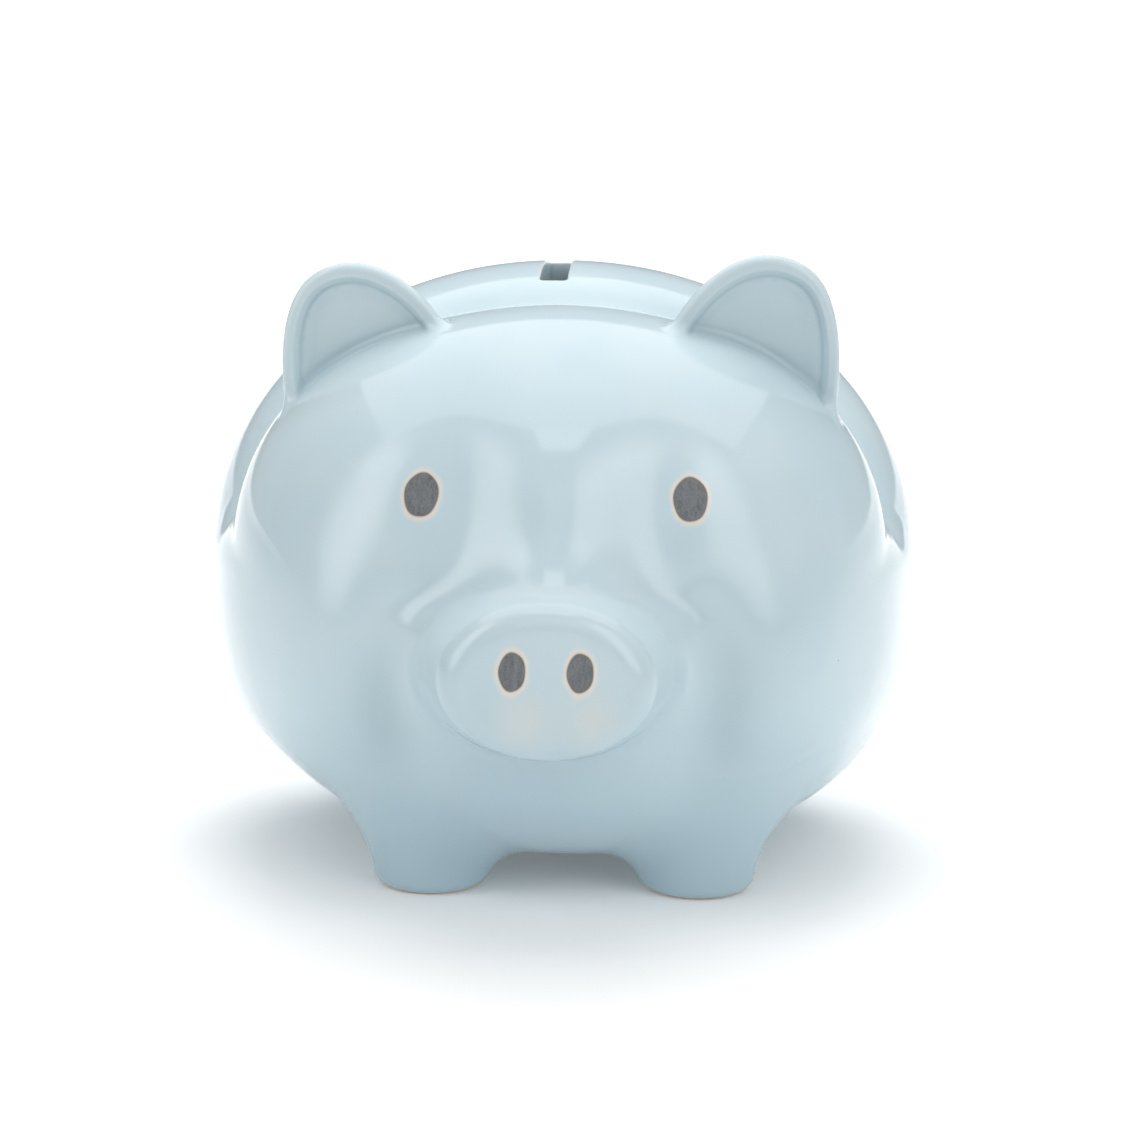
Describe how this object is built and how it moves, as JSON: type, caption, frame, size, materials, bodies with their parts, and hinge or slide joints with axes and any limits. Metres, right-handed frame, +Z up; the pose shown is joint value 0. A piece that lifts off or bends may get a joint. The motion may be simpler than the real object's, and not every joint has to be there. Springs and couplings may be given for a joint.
{
  "type": "piggy bank",
  "caption": "Plump hollow glazed ceramic pig money box with a coin slot in the back, cupped ears, oval snout, stub feet and a pull-out rubber stopper in the belly.",
  "frame": {"origin": "the middle of the bank's bounding box at the plane its feet stand on", "axes": "the pig faces -Y, +X is towards the right of someone facing it, +Z is up"},
  "size_m": [0.143, 0.155, 0.1234],
  "materials": {
    "glaze": "pale blue gloss glaze over slip-cast earthenware",
    "dark_glaze": "matte dark grey underglaze colour",
    "stopper_rubber": "soft translucent grey vinyl"
  },
  "bodies": {
    "bank": {"body_shell": "glaze", "ear_left": "glaze", "ear_right": "glaze", "snout": "glaze", "eye_left": "dark_glaze", "eye_right": "dark_glaze", "nostril_left": "dark_glaze", "nostril_right": "dark_glaze", "foot_front_left": "glaze", "foot_front_right": "glaze", "foot_rear_left": "glaze", "foot_rear_right": "glaze", "tail": "glaze"},
    "stopper": {"stopper": "stopper_rubber"}
  },
  "joints": [
    {"name": "stopper_pull", "type": "slide", "parent": "bank", "child": "stopper", "axis": [0, 0, -1], "range_m": [0, 0.03]}
  ]
}
